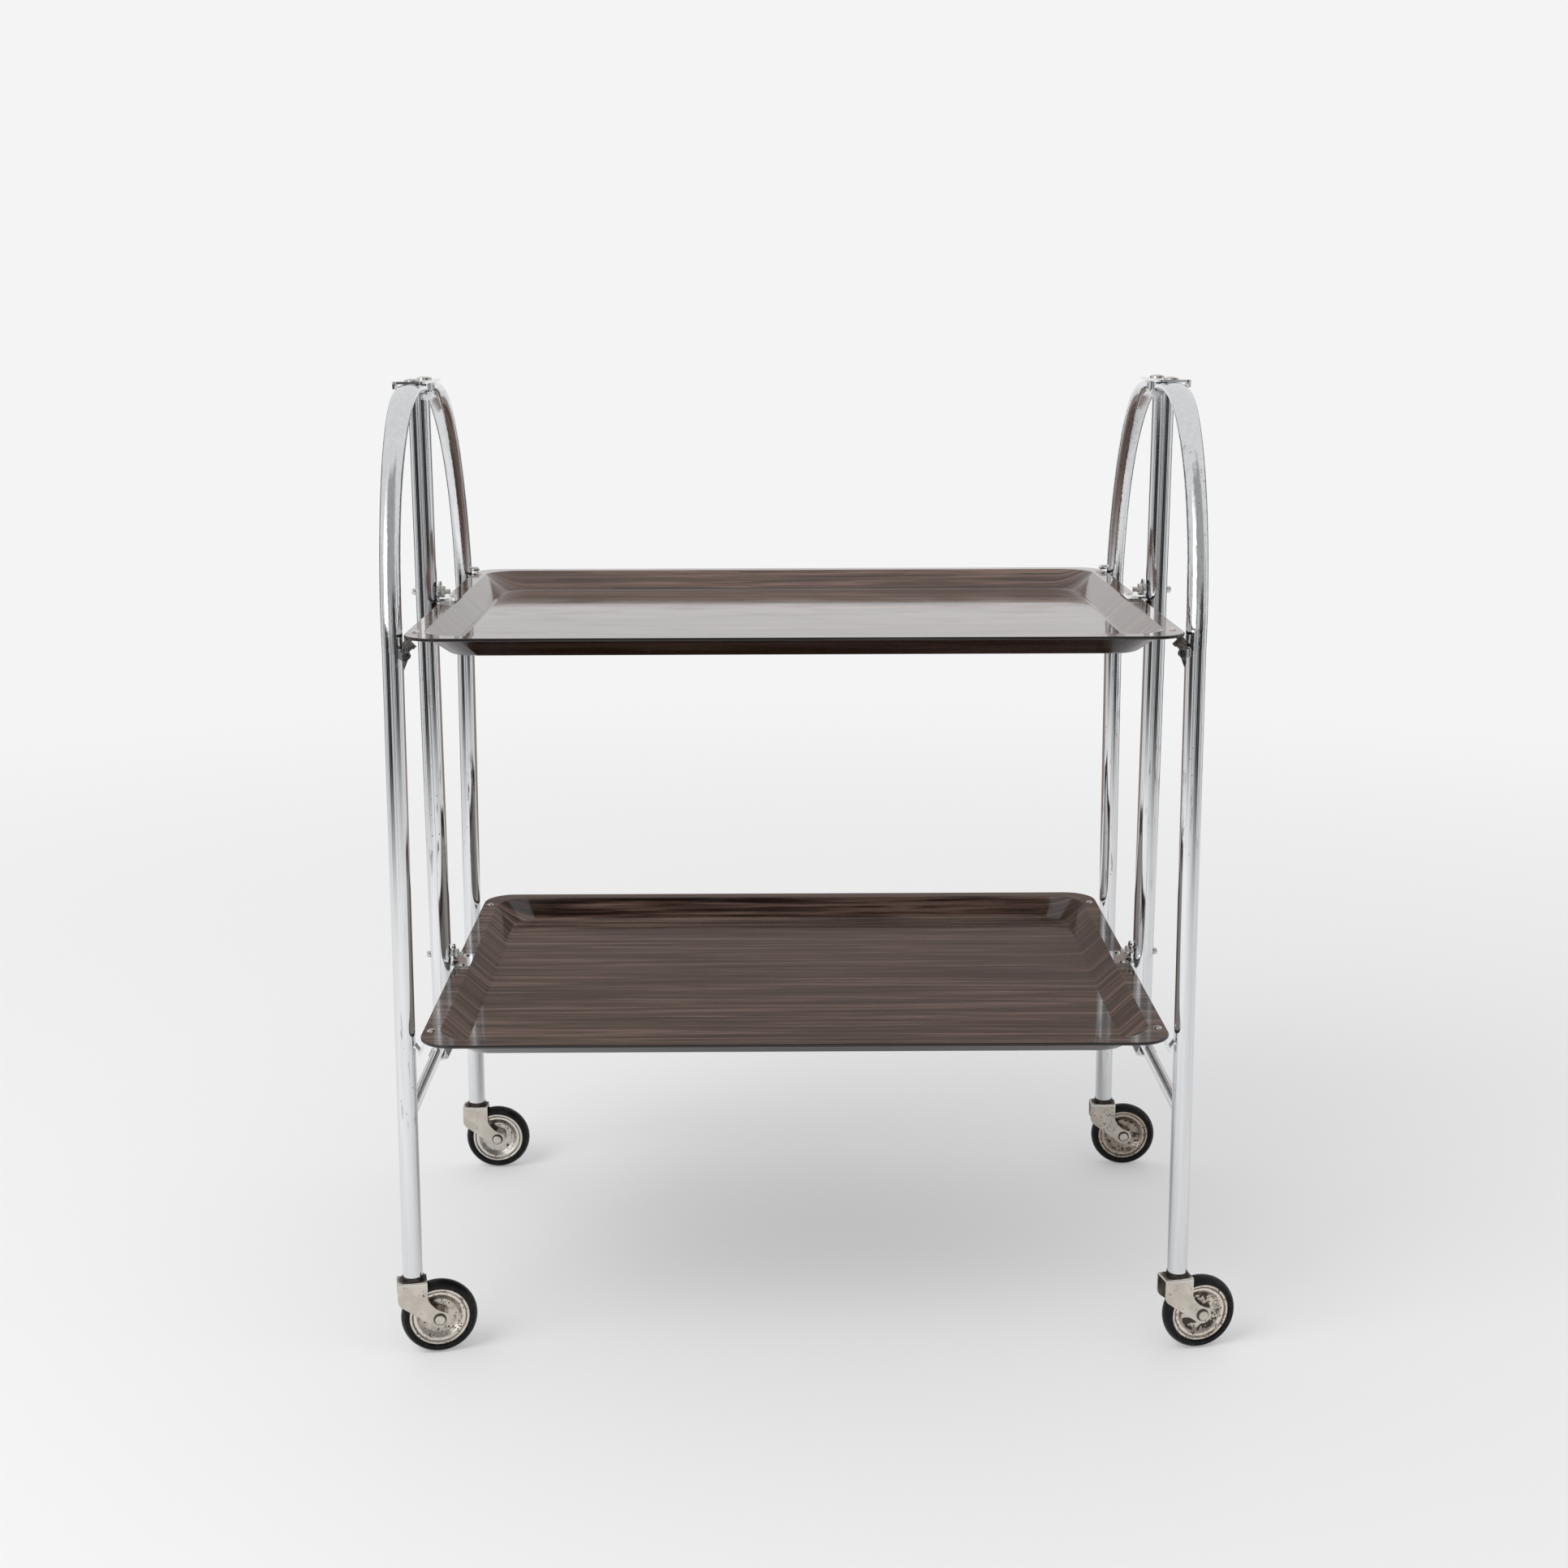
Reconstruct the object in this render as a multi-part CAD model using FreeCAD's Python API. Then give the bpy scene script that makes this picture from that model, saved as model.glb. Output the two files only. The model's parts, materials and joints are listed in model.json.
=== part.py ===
"""Folding serving trolley: chromed tube frame, two wood-grain trays that tilt, four swivel casters.

The frame stands in millimetres with +Z up.  The origin is on the floor, midway between the two posts.
The front of the trolley looks along -Y, and the trays are long along X.
"""
import FreeCAD, Part
import math
import os

from FreeCAD import Vector

# Trays
tray_half_length = 297.0
tray_half_depth = 220.0
tray_corner_radius = 27.0
tray_sheet = 2.5
tray_edge_fillet = 0.9
tray_rim_width = 14.0
tray_pan_depth = 16.0
tray_end_slope = 17.0
tray_side_slope = 21.0
tray_floor_bend = 4.0
tray_mouth_bend = 1.8
tray_pan_corner_radius = 24.0
tray_mouth_corner_radius = 28.75
tray_skin_growth = 1.4
top_rim_z = 594.5
lower_rim_z = 273.5

# Posts and legs, which stand just outside the tray ends
post_offset = 13.0
post_x = tray_half_length + post_offset
post_radius = 9.0
post_wall = 1.2
post_foot_z = 195.0
leg_setback = 26.0
leg_y = tray_half_depth - leg_setback
leg_shoulder_offset = 9.0
leg_shoulder_x = tray_half_length + leg_shoulder_offset
leg_lean = 5.5
leg_foot_x = leg_shoulder_x + leg_lean
leg_foot_z = 68.5
leg_shoulder_z = 580.0
leg_radius = 8.0
leg_wall = 1.0

# Arch of a leg, flattened where it is riveted to the top bracket
arch_plate_z = 776.0
arch_end_half_width = 10.5
arch_end_half_thickness = 4.5
arch_end_y = 20.0
arch_level_y = 44.0
arch_seat_bite = 0.5
arch_seat_height = 2 * arch_end_half_thickness - 2 * arch_seat_bite
arch_turn_shares = (0.22, 0.44, 0.62, 0.8, 1.0)
arch_flat_shares = (0.0, 0.12, 0.4, 0.75, 1.0)

# Top bracket and its hinge rivets
hinge_y = 32.0
bracket_inner_width = 12.0
bracket_outer_width = 14.5
bracket_half_length = 46.0
bracket_sheet = 2.0
bracket_corner_radius = 4.0
lug_width = 8.0
lug_inset = 3.5
lug_drop = 10.0
lug_post_gap = 1.0
lug_stud_radius = 4.2
lug_stud_length = 3.0
lip_length = 14.0
lip_drop = 4.0
hinge_rivet_radius = 3.0
hinge_rivet_head_radius = 6.0
hinge_rivet_head_height = 2.0
hinge_rivet_edge_share = 0.5

# Lower hinge at the foot of a post, and the crossbars
crossbar_z = 203.0
crossbar_radius = 5.0
crossbar_end_y = 24.0
foot_strap_sheet = 1.6
foot_strap_half_width = 9.0
foot_strap_half_length = 40.0
foot_sleeve_wall = 2.2
foot_pin_radius = 2.5
foot_pin_head_radius = 4.5
foot_pin_head_height = 1.6
foot_plug_dome = 2.5
foot_plug_depth = 10.0

# Tilting pivots between trays and posts
pivot_rise = 7.0
pivot_pin_radius = 2.2
pivot_head_radius = 2.8
pivot_head_height = 3.2
pivot_head_edge_share = 0.6
pivot_nut_radius = 4.8
pivot_nut_height = 3.0
pivot_bolt_length = 4.5
pivot_collar_radius = 5.0
ear_sheet = 1.5
ear_radius = 9.0
ear_base_half_length = 18.0
ear_base_width = 17.0
ear_post_gap = 1.6

# Tray rivets and corner plates
rivet_radius = 2.0
rivet_head_radius = 3.6
rivet_head_height = 1.4
rivet_dome_share = 0.8
rivet_edge_share = 0.5
rivet_tail_height = 1.0
ear_rivet_y = 13.5
ear_rivet_inset = 10.0
corner_rivet_setback = 36.0
corner_rivet_y = tray_half_depth - corner_rivet_setback
corner_rivet_inset = 7.0
corner_plate_sheet = 1.5
corner_plate_half_length = 14.0
corner_plate_width = 11.0
corner_plate_edge = 0.6

# Latch levers under the front corners of the top tray, and the catches that rest on them
catch_drop = 5.0
catch_width = 7.0
catch_foot = 1.5
catch_length = 8.0
catch_gap = 0.5
latch_pin_radius = 2.0
latch_pin_head_radius = 2.8
latch_pin_head_height = 1.2
latch_rise = 12.3
latch_tab_rise = 6.0
latch_inset = 2.8
latch_sheet = 2.5
latch_outer = 2.7
latch_inner = 3.2
latch_waist = 2.4
latch_shoulder = 7.3
latch_crown_shares = (0.7, 0.85)
latch_heel = 7.0
latch_tail = 10.4
latch_tail_offset = 1.6
prong_reach = 8.2
prong_drop = 5.0
prong_width = 2.8
latch_tab_outer = 1.8
latch_tab_depth = 16.0
latch_tab_sheet = 2.2
latch_lug_sheet = 1.4
latch_lug_radius = 3.3
latch_lug_reach = 5.0
latch_lug_web = 2.0
latch_lug_setback = 3.0

# Rests under the lower tray and stops above the rear of the top tray
rest_reach = 9.0
rest_root_drop = 5.0
rest_apex_reach = 3.5
rest_apex_drop = 13.0
rest_sheet = 1.8
rest_throat = 4.8
rest_width = 8.0
stop_radius = 2.2
stop_reach = 5.0
stop_weld_gap = 0.1

# Casters
wheel_radius = 31.0
tyre_width = 13.0
tyre_thickness = 6.0
tyre_crown = 2.8
disc_width = 10.0
disc_bead_depth = 2.4
disc_bead_round = 1.0
disc_flange_width = 8.0
disc_groove_depth = 3.2
disc_flange_depth = 5.8
disc_flange_round = 2.4
disc_web = 2.4
disc_dish_depth = 10.0
disc_dish_round = 4.0
hub_radius = 6.5
hub_width = 13.0
axle_radius = 3.0
axle_head_radius = 5.0
axle_head_height = 2.4
axle_head_round = 2.0
caster_trail = 20.0
caster_yaw_degrees = {"front_left": 12.0, "front_right": 13.0, "rear_left": 1.0, "rear_right": -2.0}
fork_sheet = 1.5
fork_gap = 1.2
fork_top_z = 64.5
fork_back = 13.0
fork_front = 11.0
fork_heel_z = 46.0
fork_waist_z = 49.0
fork_lobe_radius = 7.5
fork_edge_radius = 1.8
fork_bend_share = 0.33
stem_radius = 4.0
stem_collar_radius = 8.6
stem_plug_length = 22.0
stem_plug_gap = 0.3
stem_head_radius = 6.0
stem_head_height = 1.6

# Fits and cuts
running_clearance = 0.05
touch_gap = 0.3
fixed_gap = 0.02
overrun = 20.0
arc_chords = 4

SIDES = {"left": -1, "right": 1}
ENDS = {"front": -1, "rear": 1}
TRAYS = {"top": top_rim_z, "lower": lower_rim_z}
X_AXIS = Vector(1, 0, 0)
Y_AXIS = Vector(0, 1, 0)
Z_AXIS = Vector(0, 0, 1)


def export(shape, name):
    """Write one node, refined so that merged faces lie in one piece."""
    shape.removeSplitter().exportStep("parts/" + name + ".step")


def compound_export(solids, name):
    """Write several like pieces as one node of separate solids."""
    Part.makeCompound(solids).exportStep("parts/" + name + ".step")


def rod(radius, start, end):
    """Round bar between two points."""
    run = end.sub(start)
    return Part.makeCylinder(radius, run.Length, start, run)


def block(x_range, y_range, z_range):
    """Box between pairs of coordinates, given in any order."""
    low = Vector(min(x_range), min(y_range), min(z_range))
    high = Vector(max(x_range), max(y_range), max(z_range))
    size = high.sub(low)
    return Part.makeBox(size.x, size.y, size.z, low)


def revolved(outline, base, axis):
    """Turn a closed outline of (along, radius) pairs about an axis through base."""
    side = Y_AXIS if abs(axis.y) < abs(axis.x) + abs(axis.z) else Z_AXIS
    points = [base + axis * along + side * radius for along, radius in outline]
    face = Part.Face(Part.makePolygon(points + points[:1]))
    return face.revolve(base, axis, 360)


def softened(outline, rounds):
    """Outline of (along, radius) pairs with chords along an arc in place of the corners that rounds names."""
    points = [Vector(along, radius, 0) for along, radius in outline]
    soft = []
    for index, corner in enumerate(points):
        if index not in rounds:
            soft.append(outline[index])
            continue
        back = points[index - 1].sub(corner).normalize()
        ahead = points[index + 1].sub(corner).normalize()
        opening = back.getAngle(ahead) / 2
        centre = corner + (back + ahead).normalize() * (rounds[index] / math.sin(opening))
        start = corner + back * (rounds[index] / math.tan(opening)) - centre
        end = corner + ahead * (rounds[index] / math.tan(opening)) - centre
        sweep = start.getAngle(end)
        for step in range(arc_chords + 1):
            turned = sweep * step / arc_chords
            point = centre + (start * math.sin(sweep - turned) + end * math.sin(turned)) / math.sin(sweep)
            soft.append((point.x, point.y))
    return soft


def mirrored_turn(half_outline):
    """Turn an outline and its mirror image about Y."""
    other_half = [(-along, radius) for along, radius in reversed(half_outline)]
    return revolved(list(half_outline) + other_half, Vector(0, 0, 0), Y_AXIS)


def rounded_rectangle(half_x, half_y, radius, z):
    """Wire of a rectangle with round corners at height z."""
    flat_x = half_x - radius
    flat_y = half_y - radius
    diagonal = radius * math.cos(math.pi / 4)
    edges = []
    quarters = ((1, 1), (-1, 1), (-1, -1), (1, -1))
    ends = []
    for index, (sx, sy) in enumerate(quarters):
        x = sx * flat_x
        y = sy * flat_y
        along_x = Vector(x + sx * radius, y, z)
        along_y = Vector(x, y + sy * radius, z)
        first, last = (along_x, along_y) if index % 2 == 0 else (along_y, along_x)
        middle = Vector(x + sx * diagonal, y + sy * diagonal, z)
        ends.append((first, middle, last))
    for index, (first, middle, last) in enumerate(ends):
        edges.append(Part.Arc(first, middle, last).toShape())
        edges.append(Part.LineSegment(last, ends[(index + 1) % len(ends)][0]).toShape())
    return Part.Wire(edges)


def prism(wire, height):
    """Straight solid on a flat wire."""
    return Part.Face(wire).extrude(Vector(0, 0, height))


def leg_point(side, end, z):
    """Point on the straight axis of a leg at height z."""
    climb = (z - leg_foot_z) / (leg_shoulder_z - leg_foot_z)
    x = leg_foot_x + (leg_shoulder_x - leg_foot_x) * climb
    return Vector(side * x, end * leg_y, z)


def leg_line(side, end):
    """Unit direction of a leg's straight axis, upwards."""
    return leg_point(side, end, leg_shoulder_z).sub(leg_point(side, end, leg_foot_z)).normalize()


def leg_core(side, end):
    """Cutter that leaves a fixed gap round the straight part of a leg and the start of its arch."""
    foot = leg_point(side, end, leg_foot_z)
    return rod(leg_radius + fixed_gap, foot, leg_point(side, end, leg_shoulder_z + overrun))


def arch_point(side, end, turn):
    """Point on the arch's axis, from the shoulder at turn 0 to level at turn 1."""
    rise = arch_plate_z - arch_end_half_thickness + arch_seat_bite - leg_shoulder_z
    angle = turn * math.pi / 2
    x = side * (leg_shoulder_x + (post_x - leg_shoulder_x) * turn)
    y = end * (arch_level_y + (leg_y - arch_level_y) * math.cos(angle))
    return Vector(x, y, leg_shoulder_z + rise * math.sin(angle))


def arch_section(centre, tangent, flat):
    """Ellipse across the arch, round where flat is 0 and pressed wide where it is 1."""
    half_width = leg_radius + (arch_end_half_width - leg_radius) * flat
    half_thickness = leg_radius + (arch_end_half_thickness - leg_radius) * flat
    across = X_AXIS.sub(tangent * X_AXIS.dot(tangent)).normalize()
    normal = tangent.cross(across)
    wire = Part.Wire([Part.Ellipse(Vector(0, 0, 0), half_width, half_thickness).toShape()])
    wire.Placement = FreeCAD.Placement(FreeCAD.Matrix(
        across.x, normal.x, tangent.x, centre.x,
        across.y, normal.y, tangent.y, centre.y,
        across.z, normal.z, tangent.z, centre.z,
        0, 0, 0, 1))
    return wire


def leg_shape(side, end):
    """Leg tube with its arch, open at the foot, flattened and spot-faced for its rivet at the top."""
    foot = leg_point(side, end, leg_foot_z)
    shoulder = leg_point(side, end, leg_shoulder_z)
    sections = [arch_section(shoulder, leg_line(side, end), 0)]
    for turn, flat in zip(arch_turn_shares, arch_flat_shares):
        angle = turn * math.pi / 2
        rise = arch_plate_z - leg_shoulder_z
        run = leg_y - arch_level_y
        tangent = Vector(0, -end * run * math.sin(angle), rise * math.cos(angle)).normalize()
        sections.append(arch_section(arch_point(side, end, turn), tangent, flat))
    level = arch_point(side, end, 1)
    sections.append(arch_section(Vector(level.x, end * arch_end_y, level.z), Vector(0, -end, 0), 1))
    arch = Part.makeLoft(sections, True, False)
    leg = rod(leg_radius, foot, shoulder).fuse(arch).removeSplitter()
    leg = leg.cut(rod(leg_radius - leg_wall, leg_point(side, end, leg_foot_z - overrun), shoulder))
    hinge = Vector(side * post_x, end * hinge_y, arch_plate_z)
    leg = leg.cut(Part.makeCylinder(hinge_rivet_radius + fixed_gap, 2 * overrun, hinge - Z_AXIS * overrun))
    seat = hinge - Z_AXIS * (arch_seat_height + overrun)
    leg = leg.cut(Part.makeCylinder(hinge_rivet_head_radius + arch_seat_bite, overrun, seat))
    over = block((hinge.x - overrun, hinge.x + overrun), (0, end * (bracket_half_length + touch_gap)),
                 (arch_plate_z, arch_plate_z + overrun))
    return leg.cut(over)


def make_legs():
    """The four legs."""
    for side_name, side in SIDES.items():
        for end_name, end in ENDS.items():
            export(leg_shape(side, end), f"leg_{end_name}_{side_name}")


def make_posts():
    """Posts with their pivot holes, and the plugs that close their feet."""
    top_z = arch_plate_z
    plugs = []
    for side_name, side in SIDES.items():
        foot = Vector(side * post_x, 0, post_foot_z)
        post = Part.makeCylinder(post_radius, top_z - post_foot_z, foot)
        post = post.cut(Part.makeCylinder(post_radius - post_wall, top_z - post_foot_z, foot))
        for rim_z in TRAYS.values():
            centre = Vector(side * post_x, 0, rim_z + pivot_rise)
            hole = rod(pivot_pin_radius + fixed_gap, centre - X_AXIS * overrun, centre + X_AXIS * overrun)
            post = post.cut(hole)
        export(post, f"post_{side_name}")
        bore = post_radius - post_wall - fixed_gap
        outline = ((-foot_plug_dome, 0), (-foot_plug_dome, bore), (0, post_radius), (0, bore),
                   (foot_plug_depth, bore), (foot_plug_depth, 0))
        plugs.append(revolved(outline, foot, Z_AXIS))
    compound_export(plugs, "post_plugs")


def make_top_brackets():
    """Sheet caps on the post and arch ends, with a turned-down lug, its stud and a lip, and the rivets."""
    rivets = []
    half_width = (bracket_inner_width + bracket_outer_width) / 2
    for side_name, side in SIDES.items():
        plate = prism(rounded_rectangle(half_width, bracket_half_length, bracket_corner_radius, arch_plate_z),
                      bracket_sheet)
        plate.translate(Vector(side * (post_x + bracket_outer_width - half_width), 0, 0))
        top = arch_plate_z + bracket_sheet
        lug_inner = side * (post_x - bracket_inner_width + lug_inset)
        lug_back = -post_radius - lug_post_gap
        lug_foot = arch_plate_z - lug_drop
        lug_outer = lug_inner + side * lug_width
        lug = block((lug_inner, lug_outer), (lug_back, lug_back - bracket_sheet), (lug_foot, top))
        stud_centre = Vector(lug_inner, lug_back, lug_foot)
        stud = rod(lug_stud_radius, stud_centre, stud_centre - Y_AXIS * lug_stud_length)
        outer = side * (post_x + bracket_outer_width)
        lip_front = bracket_corner_radius - bracket_half_length
        lip = block((outer, outer - side * bracket_sheet), (lip_front, lip_front + lip_length),
                    (arch_plate_z - lip_drop, top))
        bracket = plate.fuse([lug, stud, lip])
        for end in ENDS.values():
            centre = Vector(side * post_x, end * hinge_y, arch_plate_z)
            hole = Part.makeCylinder(hinge_rivet_radius + fixed_gap, 2 * overrun, centre - Z_AXIS * overrun)
            bracket = bracket.cut(hole)
            low = -arch_seat_height
            high = bracket_sheet
            head = hinge_rivet_head_height
            outline = ((low - head, 0), (low - head, hinge_rivet_head_radius), (low, hinge_rivet_head_radius),
                       (low, hinge_rivet_radius), (high, hinge_rivet_radius), (high, hinge_rivet_head_radius),
                       (high + head * hinge_rivet_edge_share, hinge_rivet_head_radius),
                       (high + head, hinge_rivet_radius), (high + head, 0))
            rivets.append(revolved(outline, centre, Z_AXIS))
        export(bracket, f"top_bracket_{side_name}")
    compound_export(rivets, "hinge_rivets")


def make_foot_hinges():
    """Straps and sleeve at the foot of each post, their pins, and the crossbars that they hold."""
    strap_z = crossbar_radius + touch_gap
    pins = []
    for side_name, side in SIDES.items():
        centre = Vector(side * post_x, 0, crossbar_z)
        sleeve_radius = post_radius + foot_sleeve_wall
        height = 2 * (strap_z + foot_strap_sheet)
        hinge = Part.makeCylinder(sleeve_radius, height, centre - Z_AXIS * (height / 2))
        for level in (strap_z, -strap_z - foot_strap_sheet):
            end_radius = foot_strap_half_width - fixed_gap
            wire = rounded_rectangle(foot_strap_half_width, foot_strap_half_length, end_radius,
                                     crossbar_z + level)
            strap = prism(wire, foot_strap_sheet)
            strap.translate(Vector(side * post_x, 0, 0))
            hinge = hinge.fuse(strap)
        hinge = hinge.cut(Part.makeCylinder(post_radius + fixed_gap, 2 * height, centre - Z_AXIS * height))
        for end_name, end in ENDS.items():
            pin_base = Vector(side * post_x, end * hinge_y, crossbar_z)
            hole = Part.makeCylinder(foot_pin_radius + fixed_gap, 2 * height, pin_base - Z_AXIS * height)
            hinge = hinge.cut(hole)
            reach = height / 2
            head = foot_pin_head_height
            outline = ((-reach - head, 0), (-reach - head, foot_pin_head_radius),
                       (-reach, foot_pin_head_radius), (-reach, foot_pin_radius),
                       (reach, foot_pin_radius), (reach, foot_pin_head_radius),
                       (reach + head, foot_pin_head_radius), (reach + head, 0))
            pins.append(revolved(outline, pin_base, Z_AXIS))
            start = Vector(side * post_x, end * crossbar_end_y, crossbar_z)
            leg_axis = leg_point(side, end, crossbar_z)
            bar = rod(crossbar_radius, start, leg_axis)
            bar = bar.cut(leg_core(side, end)).cut(hole)
            export(max(bar.Solids, key=lambda solid: solid.Volume), f"crossbar_{end_name}_{side_name}")
        export(hinge, f"foot_hinge_{side_name}")
    compound_export(pins, "foot_pins")


def tray_shell(rim_z):
    """Pressed tray: flat rim, sloping walls and flat floor of one sheet."""
    crease_x = tray_half_length - tray_rim_width
    crease_y = tray_half_depth - tray_rim_width
    floor_x = crease_x - tray_end_slope
    floor_y = crease_y - tray_side_slope
    crease_radius = tray_mouth_corner_radius
    rim_wire = rounded_rectangle(tray_half_length, tray_half_depth, tray_corner_radius, rim_z - tray_sheet)
    rim = prism(rim_wire, tray_sheet)
    edge = [e for e in rim.Edges if abs(e.BoundBox.ZLength) < fixed_gap]
    rim = rim.makeFillet(tray_edge_fillet, edge)

    def pan(growth, drop):
        top = rounded_rectangle(crease_x + growth, crease_y + growth, crease_radius + growth, rim_z - drop)
        floor_radius = tray_pan_corner_radius + growth
        floor_z = rim_z - tray_pan_depth - drop
        bottom = rounded_rectangle(floor_x + growth, floor_y + growth, floor_radius, floor_z)
        form = Part.makeLoft([top, bottom], True, True)
        creases = [e for e in form.Edges if abs(e.BoundBox.ZMax - floor_z) < fixed_gap]
        return form.makeFillet(tray_floor_bend + drop, creases)

    mouth = prism(rounded_rectangle(crease_x, crease_y, crease_radius, rim_z), overrun)
    shell = rim.fuse(pan(tray_skin_growth, tray_sheet)).cut(pan(0, 0)).cut(mouth).removeSplitter()
    brink = [e for e in shell.Edges if abs(e.BoundBox.ZMin - rim_z) < fixed_gap
             and e.BoundBox.XMax < crease_x + fixed_gap and e.BoundBox.XMin > -crease_x - fixed_gap
             and e.BoundBox.YMax < crease_y + fixed_gap and e.BoundBox.YMin > -crease_y - fixed_gap]
    return shell.makeFillet(tray_mouth_bend, brink)


def domed_rivet(centre, below):
    """Small tray rivet standing on a face, with its tail set below the sheets."""
    dome = rivet_head_radius * rivet_dome_share
    tail = -below - rivet_tail_height
    outline = ((rivet_head_height, 0), (rivet_head_height, rivet_radius),
               (rivet_head_height * rivet_edge_share, dome), (0, rivet_head_radius), (0, rivet_radius),
               (-below, rivet_radius), (-below, dome), (tail, dome), (tail, 0))
    return revolved(outline, centre, Z_AXIS)


def rivet_hole(centre):
    """Cutter for a tray rivet."""
    return Part.makeCylinder(rivet_radius + fixed_gap, 2 * overrun, centre - Z_AXIS * overrun)


def pivot_bracket(side, rim_z):
    """Base on the rim with an upright round ear that turns on the pivot pin."""
    outer = side * (post_x - post_radius - ear_post_gap)
    inner_base = outer - side * ear_base_width
    base = block((inner_base, outer), (-ear_base_half_length, ear_base_half_length),
                 (rim_z, rim_z + ear_sheet))
    pivot = Vector(outer, 0, rim_z + pivot_rise)
    ear = rod(ear_radius, pivot, pivot - X_AXIS * (side * ear_sheet))
    web = block((outer, outer - side * ear_sheet), (-ear_radius, ear_radius), (rim_z, pivot.z))
    below = block((outer, outer - side * ear_sheet), (-ear_radius, ear_radius), (rim_z, rim_z - overrun))
    hole = rod(pivot_pin_radius + running_clearance, pivot + X_AXIS * overrun, pivot - X_AXIS * overrun)
    return base.fuse([ear, web]).cut(below).cut(hole)


def pivot_pin(side, rim_z):
    """Bolt through the post: small head outside, collar between post and ear, nut and bolt end inside."""
    ear_outer = post_x - post_radius - ear_post_gap
    ear_inner = ear_outer - ear_sheet
    collar_end = post_x - post_radius - fixed_gap
    head = post_x + post_radius + fixed_gap
    tail = ear_inner - touch_gap
    collar = ear_outer + touch_gap
    crown = head + pivot_head_height
    edge = head + pivot_head_height * pivot_head_edge_share
    nut_end = tail - pivot_nut_height
    bolt_end = nut_end - pivot_bolt_length
    outline = ((bolt_end, 0), (bolt_end, pivot_pin_radius), (nut_end, pivot_pin_radius),
               (nut_end, pivot_nut_radius), (tail, pivot_nut_radius), (tail, pivot_pin_radius),
               (collar, pivot_pin_radius), (collar, pivot_collar_radius),
               (collar_end, pivot_collar_radius), (collar_end, pivot_pin_radius), (head, pivot_pin_radius),
               (head, pivot_head_radius), (edge, pivot_head_radius), (crown, pivot_pin_radius), (crown, 0))
    return revolved(outline, Vector(0, 0, rim_z + pivot_rise), X_AXIS * side)


def catch_shape(side):
    """Tapered catch turned down from a front corner plate of the top tray."""
    top = top_rim_z - tray_sheet - corner_plate_sheet
    outer = side * (tray_half_length - corner_plate_edge)
    start = corner_plate_front_y()
    outline = ((outer, top), (outer - side * catch_width, top), (outer - side * catch_foot, top - catch_drop),
               (outer, top - catch_drop))
    points = [Vector(x, start, z) for x, z in outline]
    return Part.Face(Part.makePolygon(points + points[:1])).extrude(Y_AXIS * catch_length)


def corner_plate_front_y():
    """Front end of the front corner plates."""
    return -corner_rivet_y - corner_plate_half_length


def make_trays():
    """Trays with their corner plates, pivot brackets and rivets, and the pins that carry them."""
    for tray_name, rim_z in TRAYS.items():
        tray = tray_shell(rim_z)
        plates = []
        rivets = []
        underside = rim_z - tray_sheet
        for side_name, side in SIDES.items():
            bracket = pivot_bracket(side, rim_z)
            ear_outer = post_x - post_radius - ear_post_gap
            for end in ENDS.values():
                seat = Vector(side * (ear_outer - ear_rivet_inset), end * ear_rivet_y, rim_z + ear_sheet)
                rivets.append(domed_rivet(seat, ear_sheet + tray_sheet))
                bracket = bracket.cut(rivet_hole(seat))
                tray = tray.cut(rivet_hole(seat))
                edge = side * (tray_half_length - corner_plate_edge)
                y_centre = end * corner_rivet_y
                plate = block((edge, edge - side * corner_plate_width),
                              (y_centre - corner_plate_half_length, y_centre + corner_plate_half_length),
                              (underside - corner_plate_sheet, underside))
                if (tray_name, end) == ("top", -1):
                    plate = plate.fuse(catch_shape(side)).removeSplitter()
                seat = Vector(side * (tray_half_length - corner_rivet_inset), y_centre, rim_z)
                rivets.append(domed_rivet(seat, tray_sheet + corner_plate_sheet))
                plates.append(plate.cut(rivet_hole(seat)))
                tray = tray.cut(rivet_hole(seat))
            export(bracket, f"{tray_name}_pivot_bracket_{side_name}")
            export(pivot_pin(side, rim_z), f"{tray_name}_pivot_pin_{side_name}")
        export(tray, f"{tray_name}_tray")
        compound_export(plates, f"{tray_name}_corner_plates")
        compound_export(rivets, f"{tray_name}_tray_rivets")


def latch_plate(side, pin_line):
    """Flat face of a lever: round crown under the catch, release prong inwards, pointed tail."""
    def at(inwards, up):
        return pin_line + Vector(-side * inwards, 0, up)

    crown = at(-latch_outer * latch_crown_shares[0], latch_rise * latch_crown_shares[1])
    slant = prong_width * math.cos(math.pi / 4)
    corners = (at(0, latch_rise), at(latch_inner, latch_rise), at(prong_reach, latch_rise - prong_drop),
               at(prong_reach - slant, latch_rise - prong_drop - slant),
               at(latch_inner, latch_rise - prong_width - slant), at(latch_waist, 0),
               at(-latch_tail_offset, -latch_tail), at(-latch_outer, -latch_heel),
               at(-latch_outer, latch_shoulder))
    edges = [Part.LineSegment(a, b).toShape() for a, b in zip(corners, corners[1:])]
    edges.append(Part.Arc(corners[-1], crown, corners[0]).toShape())
    return Part.Face(Part.Wire(edges))


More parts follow.
